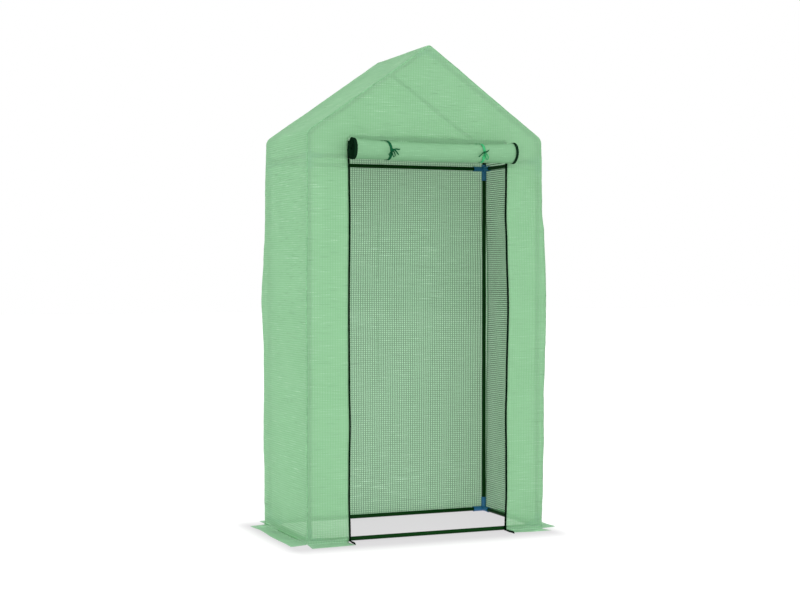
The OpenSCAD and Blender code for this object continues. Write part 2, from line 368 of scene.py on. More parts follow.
def cloth_material(name, film, thread, see_through=0.0, cover=0.45, glow=0.40, tint=(1, 1, 1), flat=True,
                   ribs=(0.66, 0.50)):
    """Scrim-reinforced sheet: a film that lets light through, on a square grid of denser threads.

    see_through and glow are the shares of the light that pass straight, coloured by tint, and scattered. The
    threads stop cover of both. The grid lies on the flat cloth, or where flat is false in the object's axes.
    """
    m, tree, shader = principled(name, film, 0.55, Specular_IOR_Level=0.3)
    solid = own_place(tree)
    if flat:
        source = tree.nodes.new("ShaderNodeAttribute")
        source.attribute_name = "flat"
        place = split_xyz(tree, source.outputs["Vector"])
    else:
        place = split_xyz(tree, solid)
    threads = scrim(tree, place["X"], place["Y" if flat else "Z"], solid, ribs)
    uneven = noise_node(tree, solid, 9.0, 3.0)
    strength = times(tree, threads, plus(tree, times(tree, uneven, 0.5), 0.7), clamp=True)
    cloud = noise_node(tree, solid, 3.0, 4.0, 0.6)
    pale = tuple(min(1.0, c * 1.10 + 0.01) for c in film)
    base = mix_colour(tree, times(tree, cloud, 0.4), film, pale)
    # painted light and shade of the film's small folds; the same marks give the folds relief below
    base, marks = painted_fold_marks(tree, base, film, solid, cloud)
    colour = mix_colour(tree, strength, base, thread)

    fine = noise_node(tree, solid, 420.0, 2.0)
    normal = bump_node(tree, fine, 0.0002, 0.35)
    normal = bump_node(tree, threads, 0.0004, 0.6, normal)
    normal = bump_node(tree, marks, 0.003, 0.5, normal)
    feed(tree, shader, Base_Color=colour, Normal=normal, Roughness=plus(tree, times(tree, uneven, 0.2), 0.45))

    film_share = minus(tree, 1.0, times(tree, threads, cover))
    scattered = tree.nodes.new("ShaderNodeBsdfTranslucent")
    feed(tree, scattered, Color=colour, Normal=normal)
    last = mix_shader(tree, times(tree, film_share, glow), shader, scattered)
    if see_through:
        clear = tree.nodes.new("ShaderNodeBsdfTransparent")
        clear.inputs["Color"].default_value = (*tint, 1)
        last = mix_shader(tree, times(tree, film_share, see_through), last, clear)
    feed(tree, tree.nodes["Material Output"], Surface=last.outputs[0])
    return m


def moulded_material(name, roughness, gloss, tints, mottle, rough, grain):
    """Smooth hard finish: mottled between two tints, with its roughness and a fine surface grain.

    mottle is the cloud's scale, detail and share, rough the roughness's spread and least, grain the grain's
    scale, height and strength.
    """
    m, tree, shader = principled(name, tints[1], roughness, Specular_IOR_Level=gloss)
    place = own_place(tree)
    cloud = noise_node(tree, place, *mottle[:2])
    relief = noise_node(tree, place, grain[0], 2.0)
    feed(tree, shader, Base_Color=mix_colour(tree, times(tree, cloud, mottle[2]), *tints),
         Roughness=plus(tree, times(tree, cloud, rough[0]), rough[1]),
         Normal=bump_node(tree, relief, *grain[1:]))
    return m


def woven_trim_material(name, colour, gloss=0.12):
    """Close-woven tape or ribbon with a fine rib across it."""
    ribs = 2 * math.pi / 0.0009
    m, tree, shader = principled(name, colour, 0.8, Specular_IOR_Level=gloss)
    place = own_place(tree)
    axes = split_xyz(tree, place)
    along_tape = math_node(tree, "SINE", times(tree, plus(tree, axes["X"], axes["Y"]), ribs))
    weave = times(tree, along_tape, math_node(tree, "SINE", times(tree, axes["Z"], ribs)))
    cloud = noise_node(tree, place, 60.0, 3.0)
    light = tuple(min(1.0, c * 1.5 + 0.001) for c in colour)
    dark = tuple(c * 0.6 for c in colour)
    feed(tree, shader, Base_Color=mix_colour(tree, cloud, dark, light),
         Normal=bump_node(tree, weave, 0.0003, 0.6))
    return m


def slider_material():
    """Black enamel, worn to bare metal in small spots."""
    enamel, bare = (0.002, 0.003, 0.002), (0.03, 0.035, 0.03)
    m, tree, shader = principled("black_enamel", enamel, 0.4, Specular_IOR_Level=0.15)
    wear = noise_node(tree, own_place(tree), 300.0, 4.0, 0.7)
    worn = times(tree, minus(tree, wear, 0.62, clamp=True), 2.5, clamp=True)
    feed(tree, shader, Base_Color=mix_colour(tree, worn, enamel, bare),
         Roughness=plus(tree, times(tree, wear, 0.3), 0.18))
    return m


def floor_material():
    """Pale studio floor, lit a little from within so that it stays white, with a soft shade painted round the
    skirts.
    """
    m, tree, shader = principled("pale_floor", (0.2, 0.2, 0.2), 0.85, Specular_IOR_Level=0.1,
                                 Emission_Strength=0.80)
    place = own_place(tree)
    axes = split_xyz(tree, place)
    away = []
    for axis, middle, half, edge in PAINTED_FLOOR_SHADE:
        off = math_node(tree, "ABSOLUTE", minus(tree, axes[axis], middle))
        past = math_node(tree, "MAXIMUM", math_node(tree, "DIVIDE", minus(tree, off, half), edge), 0.0)
        away.append(times(tree, past, past))
    beyond_painted_shade = tree.nodes.new("ShaderNodeMapRange")
    beyond_painted_shade.interpolation_type = "SMOOTHSTEP"
    feed(tree, beyond_painted_shade, Value=math_node(tree, "SQRT", plus(tree, *away)))
    beyond_painted_shade = beyond_painted_shade.outputs["Result"]
    plain = mix_colour(tree, noise_node(tree, place, 2.0, 3.0), (0.24, 0.24, 0.24), (0.26, 0.26, 0.26))
    # painted shade: darker base colour and dimmer glow under and beside the object
    feed(tree, shader, Base_Color=mix_colour(tree, beyond_painted_shade, (0.10, 0.10, 0.10), plain),
         Emission_Color=mix_colour(tree, beyond_painted_shade, (0.80, 0.78, 0.80), (1.0, 1.0, 1.0)))
    return m


WALL_RIBS = (0.40, 1.0)  # on the walls the level threads stand out more than the upright ones
OUTSIDE = cloth_material("cover_outside", (0.410, 0.740, 0.446), (0.255, 0.54, 0.285),
                         see_through=0.30, tint=(0.80, 1.0, 0.80))
# painted light: a lighter copy of the back panel's cloth colours, for the front panel
FRONT_OUTSIDE = cloth_material("front_outside", (0.445, 0.80, 0.485), (0.275, 0.585, 0.305),
                               see_through=0.38, tint=(0.84, 1.0, 0.84), ribs=(0.80, 0.50))
# painted shade: a darker copy of the cloth for the end panels' inside faces, with near-black threads
INSIDE = cloth_material("cover_inside", (0.225, 0.40, 0.262), (0.010, 0.050, 0.025),
                        see_through=0.67, cover=0.9, ribs=(0.60, 0.42))
# painted light: a lighter copy of the back panel's cloth colours, for the outside of walls and roof
WALL_OUTSIDE = cloth_material("wall_outside", (0.445, 0.825, 0.490), (0.275, 0.60, 0.31),
                              see_through=0.36, tint=(0.82, 1.0, 0.82), ribs=WALL_RIBS)
# painted shade: a darker copy of the cloth for the inside of walls and roof, with near-black threads
WALL_INSIDE = cloth_material("wall_inside", (0.23, 0.42, 0.27), (0.008, 0.040, 0.018),
                             see_through=0.62, cover=0.95, ribs=WALL_RIBS)
SKIRT_CLOTH = cloth_material("skirt_cloth", (0.39, 0.67, 0.43), (0.26, 0.50, 0.30),
                             see_through=0.30, glow=0.30, tint=(0.88, 1.0, 0.90))
# painted shade: the door is the same cloth, in a darker copy, for the outside of its roll
DOOR_OUTSIDE = cloth_material("door_outside", (0.214, 0.452, 0.243), (0.200, 0.428, 0.228),
                              cover=0.5, glow=0.20)
# painted shade: darker still on the inner faces of the roll's turns
DOOR_INSIDE = cloth_material("door_inside", (0.12, 0.27, 0.145), (0.03, 0.10, 0.055), cover=0.9, glow=0.20)
# painted shade: the door's flat length shows just above the roll, so its colour is darker than the cover's,
# for the gable's shade there
CURTAIN_CLOTH = cloth_material("door_cloth", (0.230, 0.475, 0.260), (0.195, 0.415, 0.222),
                               cover=0.5, glow=0.30, flat=False)
TUBE = moulded_material("green_powder_coat", 0.35, 0.06, ((0.0003, 0.024, 0.0012), (0.0010, 0.046, 0.004)),
                        mottle=(14.0, 4.0, 0.5), rough=(0.2, 0.28), grain=(900.0, 0.0002, 0.4))
SOCKET = moulded_material("blue_moulded_plastic", 0.4, 0.45, ((0.008, 0.105, 0.24), (0.020, 0.175, 0.37)),
                          mottle=(30.0, 3.0, 1.0), rough=(0.25, 0.3), grain=(1500.0, 0.0001, 0.5))
ZIP = woven_trim_material("black_zip_tape", (0.0012, 0.0085, 0.0030), 0.004)
ROLLED_TAPE = woven_trim_material("rolled_zip_tape", (0.0030, 0.0180, 0.0070), 0.01)
TEETH = principled("black_zip_teeth", (0.001, 0.006, 0.002), 0.5, Specular_IOR_Level=0.02)[0]
SLIDER = slider_material()
SEAM = woven_trim_material("seam_binding", (0.20, 0.43, 0.23))
THREAD = woven_trim_material("seam_thread", (0.36, 0.66, 0.40))
RIBBON_LEFT = woven_trim_material("dark_green_ribbon", (0.004, 0.085, 0.030), 0.05)
RIBBON_RIGHT = woven_trim_material("bright_green_ribbon", (0.055, 0.420, 0.160), 0.05)

# --- the cover's shape ---


def roof_height(x, k):
    """Height of the roof's outline at x, k outside the tubes' middle lines."""
    x = abs(x)
    if x > BEND_X + (BEND_R + k) * math.sin(SLOPE):
        reach = BEND_R + k
        return BEND_Z + math.sqrt(max(reach * reach - (x - BEND_X) ** 2, 0.0))
    if x < k * math.sin(SLOPE):
        return RIDGE_Z + math.sqrt(k * k - x * x)
    return RIDGE_Z + k / math.cos(SLOPE) - x * math.tan(SLOPE)


def roof_normal(x, k):
    """Outward direction (x, z) of the roof's outline at x."""
    side, x = math.copysign(1, x), abs(x)
    if x > BEND_X + (BEND_R + k) * math.sin(SLOPE):
        reach = BEND_R + k
        c = min((x - BEND_X) / reach, 1.0)
        return side * c, math.sqrt(1 - c * c)
    if x < k * math.sin(SLOPE):
        return side * x / k, math.sqrt(1 - (x / k) ** 2)
    return side * math.sin(SLOPE), math.cos(SLOPE)


# How far the cover stands off, as (height, share) up each side, and at each corner (side, end) in metres.
SLACK_LEFT = ((0.0, 0.34), (0.20, 0.42), (0.38, 0.63), (0.60, 0.54), (0.70, 0.58), (0.94, 1.0), (1.08, 0.60),
              (1.20, 0.26), (1.40, 0.20), (1.54, 0.0))
SLACK_RIGHT = ((0.0, 0.34), (0.22, 0.50), (0.38, 0.65), (0.54, 0.60), (0.68, 0.82), (0.86, 1.0), (1.04, 0.93),
               (1.19, 0.64), (1.29, 0.28), (1.42, 0.22), (1.56, 0.15))
CORNER_SLACK = {(-1, -1): 0.006, (-1, 1): 0.0205, (1, -1): 0.0255, (1, 1): 0.016}
# How far each edge of the doorway bends to the right, as (height, distance).
DOOR_EDGE_LEFT = ((0.0, 0.0024), (0.17, -0.0009), (0.31, 0.0), (0.45, 0.0025), (0.60, 0.0), (0.90, -0.0016),
                  (1.25, 0.0022), (1.42, 0.0), (1.47, -0.0018))
DOOR_EDGE_RIGHT = ((0.0, -0.0030), (0.17, 0.0006), (0.31, -0.0004), (0.45, -0.0024), (0.60, 0.0006),
                   (0.90, 0.0062), (1.14, 0.0), (1.26, -0.0036), (1.42, -0.0014), (1.52, 0.0))
APEX_PULL = Vector((0.0098, 0, 0.0060))  # how far the front gable's apex is pulled over


def slack(x, y, z):
    """How far the loose cover stands off the frame at a point on it, as a vector."""
    sx, sy = math.copysign(1, x), math.copysign(1, y)
    near_side = min(abs(x) / HALF_W, 1.0) ** 8
    near_end = min(abs(y) / abs(FRONT_Y), 1.0) ** 5
    toward_back = smooth((y - FRONT_Y) / (BACK_Y - FRONT_Y))
    front, back = CORNER_SLACK[(sx, -1)], CORNER_SLACK[(sx, 1)]
    hug = along(SLACK_LEFT if sx < 0 else SLACK_RIGHT, z)
    middle = max(0.0, 1 - (y / BACK_Y) ** 2)
    dx = sx * near_side * hug * (front + (back - front) * toward_back + 0.005 * middle)
    if sy < 0:
        for edge, stops in ((DOOR_LEFT, DOOR_EDGE_LEFT), (DOOR_RIGHT, DOOR_EDGE_RIGHT)):
            dx += near_end * along(stops, z) * math.exp(-(((x - edge) / 0.06) ** 2))
    across = max(0.0, 1 - (x / HALF_W) ** 2)
    dy = sy * near_end * hug * (0.003 + (0.010 * across if sy > 0 else 0.0))
    sag = -0.004 * middle * smooth((z - RAIL_Z - 0.09) / 0.1) * smooth(abs(x) / 0.12)
    nx, nz = roof_normal(x, K_OUT)
    up = min(max((z - EAVE_H) / (RIDGE_H - EAVE_H), 0.0), 1.0)
    return Vector((dx + nx * sag, dy, nz * sag)) + APEX_PULL * (up * (1 - toward_back))


def wrinkle(x, y, z):
    """Small folds of the sheet, outward from its surface."""
    fine = 0.0009 * wave(4.0 * x + 3, 4.0 * y, 34.0 * z) + 0.0005 * wave(9.0 * x, 9.0 * y + 5, 70.0 * z)
    folds = 0.0016 * wave(11.0 * x, 11.0 * y, 1.7 * z + 4) * smooth((1.5 - z) / 0.3)
    pull = 0.0012 * wave(9.0 * (x + 0.8 * z), 6.0 * y, 9.0 * (z - 0.5 * x))
    return fine + folds + pull


def settled(point, normal):
    """Where a point of the cover comes to lie."""
    return point + slack(*point) + normal * wrinkle(*point)


LOWER_ROWS, UPPER_ROWS = 150, 16
TOP_ROW = LOWER_ROWS + UPPER_ROWS


def columns():
    """The places across the end panels, with a column on each edge of the doorway and round the bends."""
    step, turn, reach = 0.013, math.pi / 2 - SLOPE, BEND_R + K_IN
    bend = [POST_X + K_IN] + [BEND_X + reach * math.cos(turn * i / 7) for i in range(1, 8)]
    ridge = [K_IN * math.sin(SLOPE * i / 2) for i in (-2, -1, 0, 1, 2)]
    left = [-x for x in bend] + spaced(-bend[-1], DOOR_LEFT, step)[1:] + spaced(DOOR_LEFT, ridge[0], step)
    right = spaced(ridge[-1], DOOR_RIGHT, step)[1:] + spaced(DOOR_RIGHT, bend[-1], step) + bend[::-1]
    return left + ridge + right


COLUMNS = columns()
LEFT_COLUMN = COLUMNS.index(DOOR_LEFT)
RIGHT_COLUMN = COLUMNS.index(DOOR_RIGHT)


def panel_height(i, j):
    """Height of row j in column i of an end panel."""
    x = COLUMNS[i]
    edge = DOOR_LEFT if i < LEFT_COLUMN else DOOR_RIGHT if i > RIGHT_COLUMN else x
    top, top_edge = roof_height(x, K_IN), roof_height(edge, K_IN)
    if j <= LOWER_ROWS:
        z = DOOR_H * j / LOWER_ROWS
    else:
        z = DOOR_H + (top_edge - DOOR_H) * (j - LOWER_ROWS) / UPPER_ROWS
    return max(z * top / top_edge, FOOT_Z)


def outline():
    """The end panels' edge, from the left foot over the roof to the right foot: x, z and outward x, z."""
    last = len(COLUMNS) - 1
    points = [(COLUMNS[0], panel_height(0, j), -1.0, 0.0) for j in range(TOP_ROW)]
    points += [(x, roof_height(x, K_IN), *roof_normal(x, K_IN)) for x in COLUMNS]
    points += [(COLUMNS[last], panel_height(last, j), 1.0, 0.0) for j in range(TOP_ROW - 1, -1, -1)]
    return points


OUTLINE = outline()
FILLET_STEPS = 6


def fillet_point(entry, step, end):
    """Point and outward direction round the corner: step 0 on the end panel, FILLET_STEPS on the wall."""
    x, z, nx, nz = entry
    a = math.pi / 2 * step / FILLET_STEPS
    y0 = FRONT_Y if end < 0 else BACK_Y
    out, back = CORNER_R * math.sin(a), CORNER_R * (1 - math.cos(a))
    point = Vector((x + nx * out, y0 - end * back, z + nz * out))
    return point, Vector((nx * math.sin(a), end * math.cos(a), nz * math.sin(a)))


def end_panel(name, end):
    """The front panel (end -1), with its doorway, or the back panel (end 1), and half of its rounded edge."""
    rows, cols = len(COLUMNS), TOP_ROW + 1
    y0 = FRONT_Y if end < 0 else BACK_Y
    out = Vector((0, end, 0))
    vertices, places = [], []
    for i, x in enumerate(COLUMNS):
        for j in range(cols):
            z = panel_height(i, j)
            vertices.append(settled(Vector((x, y0, z)), out))
            places.append((x, z))

    def in_panel(i, j):
        return not (end < 0 and LEFT_COLUMN <= i < RIGHT_COLUMN and j < LOWER_ROWS)

    faces = grid_faces(rows, cols, in_panel)
    before = list(range(TOP_ROW)) + [i * cols + TOP_ROW for i in range(rows)]
    before += [(rows - 1) * cols + j for j in range(TOP_ROW - 1, -1, -1)]
    for step in range(1, FILLET_STEPS // 2 + 1):
        start = len(vertices)
        for entry in OUTLINE:
            p, n = fillet_point(entry, step, end)
            vertices.append(settled(p, n))
            run = CORNER_R * math.pi / 2 * step / FILLET_STEPS
            places.append((entry[0] + entry[2] * run, entry[1] + entry[3] * run))
        here = list(range(start, start + len(OUTLINE)))
        faces += [(before[k], before[k + 1], here[k + 1], here[k]) for k in range(len(here) - 1)]
        before = here
    if end > 0:
        faces = [f[::-1] for f in faces]
    obj = new_object(name, vertices, faces, [FRONT_OUTSIDE if end < 0 else OUTSIDE, INSIDE])
    flat_places(obj, places)
    turn_out(obj, lambda f: f.normal.y * end, recalculate=True)
    return thicken(obj, inner_material=True)


def wrap():
    """Walls and roof in one length of cloth, between the two end panels."""
    half = FILLET_STEPS // 2
    stations = [(-1, s, None) for s in range(half, FILLET_STEPS)]
    inner = spaced(FRONT_Y + CORNER_R, BACK_Y - CORNER_R, 0.0125) + [BACK_Y - CORNER_R]
    stations += [(0, None, y) for y in inner]
    stations += [(1, s, None) for s in range(FILLET_STEPS - 1, half - 1, -1)]
    run = [0.0]
    for a, b in zip(OUTLINE, OUTLINE[1:]):
        pa = (a[0] + a[2] * CORNER_R, a[1] + a[3] * CORNER_R)
        pb = (b[0] + b[2] * CORNER_R, b[1] + b[3] * CORNER_R)
        run.append(run[-1] + math.dist(pa, pb))
    vertices, places = [], []
    for k, entry in enumerate(OUTLINE):
        for end, step, y in stations:
            if end:
                p, n = fillet_point(entry, step, end)
            else:
                x, z, nx, nz = entry
                p = Vector((x + nx * CORNER_R, y, z + nz * CORNER_R))
                n = Vector((nx, 0, nz))
            vertices.append(settled(p, n))
            places.append((p.y, run[k]))
    faces = grid_faces(len(OUTLINE), len(stations))
    obj = new_object("cover_walls_and_roof", vertices, faces, [WALL_OUTSIDE, WALL_INSIDE])
    flat_places(obj, places)
    turn_out(obj, lambda f: f.normal.z, recalculate=True)
    return thicken(obj, inner_material=True), run[-1]


def seam_line(end):
    """The line where an end panel meets walls and roof: its points, their directions across and outward."""
    path, across, out = [], [], []
    for entry in OUTLINE[::2] + [OUTLINE[-1]]:
        p, n = fillet_point(entry, FILLET_STEPS / 2, end)
        path.append(settled(p, n))
        out.append(n)
        across.append(Vector((entry[2], -end, entry[3])).normalized())
    return path, across, out


STITCH_LENGTH, STITCH_W, STITCH_PITCH = 0.0034, 0.0007, 0.0056


def stitches(name, path, across, out, aside, rise, material=THREAD):
    """Row of small stitches along path, moved aside across it and raised off it."""
    vertices, faces = [], []
    gaps = [(b - a).length for a, b in zip(path, path[1:])]
    ends = [0.0, *accumulate(gaps)]
    for n in range(int(ends[-1] / STITCH_PITCH)):
        at = (n + 0.5) * STITCH_PITCH
        i = min(bisect_left(ends, at) - 1, len(gaps) - 1)
        forward = (path[i + 1] - path[i]).normalized()
        a, o = across[i], out[i]
        c = path[i].lerp(path[i + 1], (at - ends[i]) / gaps[i]) + a * aside + o * rise
        base = len(vertices)
        for reach, lift in ((-1 / 2, 0), (-1 / 5, STITCH_W * 0.5), (1 / 5, STITCH_W * 0.5), (1 / 2, 0)):
            e = c + forward * (STITCH_LENGTH * reach) + o * lift
            vertices += [e + a * STITCH_W / 2, e + o * STITCH_W * 0.6, e - a * STITCH_W / 2]
        for r in range(base, base + 9, 3):
            faces += [(r, r + 1, r + 4, r + 3), (r + 1, r + 2, r + 5, r + 4), (r + 2, r, r + 3, r + 5)]
        faces += [(base + 2, base + 1, base), (base + 9, base + 10, base + 11)]
    return new_object(name, vertices, faces, material)


# --- build the cover ---

cover_front = end_panel("cover_front_sheet", -1)
cover_back = end_panel("cover_back_sheet", 1)
cover_wrap, wrap_length = wrap()
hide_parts("cover_front")
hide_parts("cover_back")
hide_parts("cover_wall_left", "cover_wall_right", "cover_roof_left", "cover_roof_right")

trim = {}
for end, label in ((-1, "front"), (1, "back")):
    path, across, out = seam_line(end)
    trim[label] = [strip(f"seam_binding_{label}", path, across, out, 0.0036, 0.0005, SEAM, crown=0.0006),
                   stitches(f"seam_stitches_{label}", path, across, out, 0.0, 0.0012)]

for obj in (cover_front, cover_back, cover_wrap, *trim["front"], *trim["back"]):
    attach(obj, ROOT)

# --- skirts ---

SKIRT_RISE = 0.014  # sewn edge of a skirt on the wall
SKIRT_BEND = 0.003  # radius of its bend from the wall to the ground
SKIRT_OFF = 0.0007  # from the wall to the sewn edge
SKIRT_LIE = 0.0012  # height at which the skirt lies
SIDE_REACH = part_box("skirt_left")[1][0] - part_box("skirt_left")[0][0]
SHORT = 0.002  # the side and back skirts stop this far from the corners


def skirt_profile(reach):
    """Outward distance and height of points across a skirt, from its sewn edge to its free edge."""
    points = [(SKIRT_OFF, SKIRT_RISE), (SKIRT_OFF, SKIRT_RISE * 0.6)]
    for i in range(6):
        a = math.pi / 2 * i / 5
        out, z = SKIRT_BEND * (1 - math.cos(a)), SKIRT_BEND * (1 - math.sin(a))
        points.append((SKIRT_OFF + out, SKIRT_LIE + z))
    out, n = SKIRT_OFF + SKIRT_BEND, 12
    return points + [(out + (reach - SKIRT_BEND) * i / n, SKIRT_LIE) for i in range(1, n + 1)]


def skirt(label, start, end, outward, reach, skew):
    """Strip of cloth sewn to the foot of a wall from start to end, lying outward on the ground.

    skew says how far the two ends of its free edge lean along the wall.
    """
    start, end, outward = Vector((*start, 0)), Vector((*end, 0)), Vector((*outward, 0))
    forward = (end - start).normalized()
    length = (end - start).length
    profile = skirt_profile(reach)
    steps = max(8, round(length / 0.012))
    vertices, places = [], []
    for i in range(steps + 1):
        t = i / steps
        for out, z in profile:
            share = max(0.0, (out - 0.004) / reach)
            lean = (skew[0] * (1 - t) + skew[1] * t) * share
            p = start + forward * (length * t + lean)
            ripple = 0.0032 * share * (0.5 + 0.5 * wave(p.x * 13, p.y * 13 + 7, 2.0))
            edge = 0.0035 * share * wave(p.x * 9 + 2, p.y * 9, 5.0)
            curl = 0.004 * share**4 * smooth(0.5 + wave(p.x * 6, p.y * 6, 9.0))
            q = p + outward * (out + edge)
            near = slack(p.x, p.y, max(z, FOOT_Z)) * (1 - smooth(out / 0.01))
            vertices.append(Vector((q.x, q.y, z + ripple + curl)) + Vector((near.x, near.y, 0)))
            places.append((length * t, out))
    obj = new_object(f"{label}_skirt_sheet", vertices, grid_faces(steps + 1, len(profile)), SKIRT_CLOTH)
    flat_places(obj, places)
    turn_out(obj, lambda f: f.normal.z)
    thicken(obj)
    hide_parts(f"skirt_{label}")
    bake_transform(obj)


skirt("left", (-HALF_W, BACK_Y - SHORT), (-HALF_W, FRONT_Y + SHORT), (-1, 0),
      SIDE_REACH - 0.006, (0.026, 0.030))
skirt("right", (HALF_W, FRONT_Y + SHORT), (HALF_W, BACK_Y - SHORT), (1, 0),
      SIDE_REACH - 0.012, (0.002, -0.006))
skirt("back", (HALF_W - SHORT, BACK_Y), (SHORT - HALF_W, BACK_Y), (0, 1),
      SIDE_REACH - 0.002, (-0.006, 0.006))
skirt("front_left", (-HALF_W, FRONT_Y), (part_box("skirt_front_left")[1][0], FRONT_Y), (0, -1),
      SIDE_REACH + 0.016, (-0.014, -0.004))
skirt("front_right", (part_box("skirt_front_right")[0][0], FRONT_Y), (HALF_W, FRONT_Y), (0, -1),
      SIDE_REACH - 0.006, (0.0, 0.010))

# --- zips ---

ZIP_W = {"left": 0.0070, "right": 0.0082}  # width of each tape, as it lies
ZIP_INSET = 0.002  # from the edge of the doorway to the middle of its tape
ZIP_TOP = 1.545  # the tapes go on up behind the roll
TAIL_W, TAIL_T, TAIL_REACH = 0.0085, 0.0026, 0.066  # the loose tails at the foot


def zip_path(side):
    """Points up an edge of the doorway, along its zip tape."""
    x = DOOR_X + side * (DOOR_HALF - ZIP_INSET)
    steps = 120
    points = [Vector((x, FRONT_Y, FOOT_Z + (ZIP_TOP - FOOT_Z) * i / steps)) for i in range(steps + 1)]
    return [p + slack(*p) + Vector((0, -0.0012, 0)) for p in points]


def zip_teeth(name, path, side, tape_w):
    """Row of moulded teeth along the inner edge of a zip tape."""
    vertices, faces = [], []
    pitch, w, d, h = 0.0030, 0.0022, 0.0018, 0.0016
    low, high = path[0].z, path[-1].z
    for n in range(int((high - low) / pitch)):
        t = (n + 0.5) * pitch / (high - low) * (len(path) - 1)
        i = min(int(t), len(path) - 2)
        c = path[i].lerp(path[i + 1], t - i) + Vector((-side * tape_w / 2, -0.0012, 0))
        base = len(vertices)
        for dx in (-w / 2, w / 2):
            for dy in (-d / 2, d / 2):
                taper = 0.7 if dy < 0 else 1.0
                for dz in (-h / 2, h / 2):
                    vertices.append(c + Vector((dx * taper, dy, dz * taper)))
        faces += [tuple(base + k for k in f) for f in
                  ((0, 1, 3, 2), (4, 6, 7, 5), (0, 4, 5, 1), (2, 3, 7, 6), (0, 2, 6, 4), (1, 5, 7, 3))]
    return new_object(name, vertices, faces, TEETH, smooth_faces=False)


def zip_tail(label, side, x):
    """Loose end of a zip tape, which turns on edge as it runs out over the skirt."""
    path = [Vector((x, FRONT_Y - 0.0022, 0.012)), Vector((x, FRONT_Y - 0.0024, 0.007)),
            Vector((x, FRONT_Y - 0.0045, 0.0055))]
    path += [Vector((x + side * 0.004 * i / 8, FRONT_Y - 0.009 - TAIL_REACH * i / 8,
                     0.0053 + 0.0007 * smooth(i / 4) + 0.0003 * math.sin(1.3 * i))) for i in range(9)]
    out, across = [], []
    for i in range(len(path)):
        twist = math.radians(72) * smooth((i - 1) / 5)
        forward = (path[min(i + 1, len(path) - 1)] - path[max(i - 1, 0)]).normalized()
        level = forward.cross(-RIGHTWARD).normalized()
        across.append(RIGHTWARD * math.cos(twist) + level * math.sin(twist))
        out.append(across[-1].cross(forward).normalized())
    tail = strip(f"zip_tail_{label}", path, across, out, TAIL_W, TAIL_T, ZIP, crown=0.0003)
    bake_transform(tail)


for side, label in ((-1, "left"), (1, "right")):
    path = zip_path(side)
    across, out = [RIGHTWARD] * len(path), [FORWARD] * len(path)
    tape = strip(f"zip_tape_{label}_woven", path, across, out, ZIP_W[label], 0.0009, ZIP, crown=0.0003)
    teeth = zip_teeth(f"zip_teeth_{label}", path, side, ZIP_W[label])
    sewn = stitches(f"zip_stitches_{label}", path, across, out, side * 0.0024, 0.0011, ZIP)
    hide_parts(f"zip_tape_{label}")
    for obj in (tape, teeth, sewn):
        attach(obj, ROOT)
    zip_tail(label, side, path[0].x)

# --- door ---

ROLL_SLIM, ROLL_SAG = 0.0032, 0.0065  # how much slimmer the roll is in its middle, and how far it sags there
TIE_PINCH, TIE_PINCH_W = 0.0016, 0.016  # how deep and how wide the ties press into it
END_SWELL, END_PUSH = 0.0020, 0.0055  # how much thicker its ends are, and how far they lean out
EDGE_TAPE = {"left": (0.0130, 0.0020), "right": (0.0095, 0.0017)}  # width and depth of the tape rolled in
EDGE_TAPE_PROUD = 0.0008  # how far that tape stands out from the cloth
CURTAIN_EDGE = 0.003  # half the width of the tape beside the door's flat length


def roll_radius(angle):
    """Radius of the rolled cloth; angle runs from 0 at its outer end down into the roll."""
    return ROLL_R + (ROLL_R - ROLL_CORE_R) * angle / (2 * math.pi * ROLL_TURNS)


def roll_waist(x):
    """How much slimmer the roll is at x than near its ends, how far it sags and how far it is pushed out."""
    u = min(abs(x - (ROLL_X0 + ROLL_X1) / 2) / ((ROLL_X1 - ROLL_X0) / 2), 1.0)
    pinch = sum(math.exp(-(((x - t) / TIE_PINCH_W) ** 2)) for t in TIE_X)
    end = smooth((abs(x - DOOR_X) - ROLL_FLARE) / 0.014)
    slim = ROLL_SLIM * smooth((1 - u) / 0.3) + TIE_PINCH * pinch - END_SWELL * end
    return slim, ROLL_SAG * (1 - u**2), END_PUSH * end


def roll_point(angle, x, inset=0.0):
    """Point of the rolled cloth at x, inset from its outer face."""
    depth = -angle / (2 * math.pi * ROLL_TURNS)
    slim, sag, push = roll_waist(x)
    uneven = 0.0007 * wave(9 * x, 2.2 * math.cos(angle), 2.2 * math.sin(angle)) * (1 - depth)
    r = roll_radius(angle) - inset + uneven - CLOTH_T - slim * (1 - depth)
    return Vector((x, ROLL_Y + slim - push + r * math.cos(angle), ROLL_Z + r * math.sin(angle) - sag))


def roll_stray(angle):
    """How far each turn stands out at the roll's ends, for its ragged spiral."""
    return 0.0030 * wave(0.45 * angle, 3.0, 1.0) + 0.0012 * math.sin(0.5 * angle)


def spiral_angles(per_turn):
    """Angles down the whole spiral, for roll_radius."""
    n = ROLL_TURNS * per_turn
    return [-2 * math.pi * ROLL_TURNS * i / n for i in range(n + 1)]


def door_roll():
    """The rolled door as one long sheet, with its length."""
    angles = spiral_angles(36)
    near_ties = [t + d for t in TIE_X for d in (-0.014, -0.007, 0, 0.007, 0.014)]
    xs = sorted({*spaced(ROLL_X0, ROLL_X1, 0.022), ROLL_X1, *near_ties})
    vertices, places = [], []
    run = 0.0
    for n, a in enumerate(angles):
        if n:
            run += roll_radius(a) * (angles[n - 1] - a)
        stray = {xs[0]: 0.0010 - roll_stray(a), xs[-1]: roll_stray(a) - 0.0005}
        for x in xs:
            vertices.append(roll_point(a, x + stray.get(x, 0.0)))
            places.append((x, run))
    faces = grid_faces(len(angles), len(xs))
    obj = new_object("door_roll_sheet", vertices, faces, [DOOR_OUTSIDE, DOOR_INSIDE])
    flat_places(obj, places)
    outer_faces = 30 * (len(xs) - 1)
    middle = Vector((0, ROLL_Y, ROLL_Z))

    def outward(face):
        away = (face.calc_center_median() - middle) * Vector((0, 1, 1))
        return face.normal.dot(away) if face.index < outer_faces else 0.0

    turn_out(obj, outward)
    return thicken(obj, inner_material=True), run


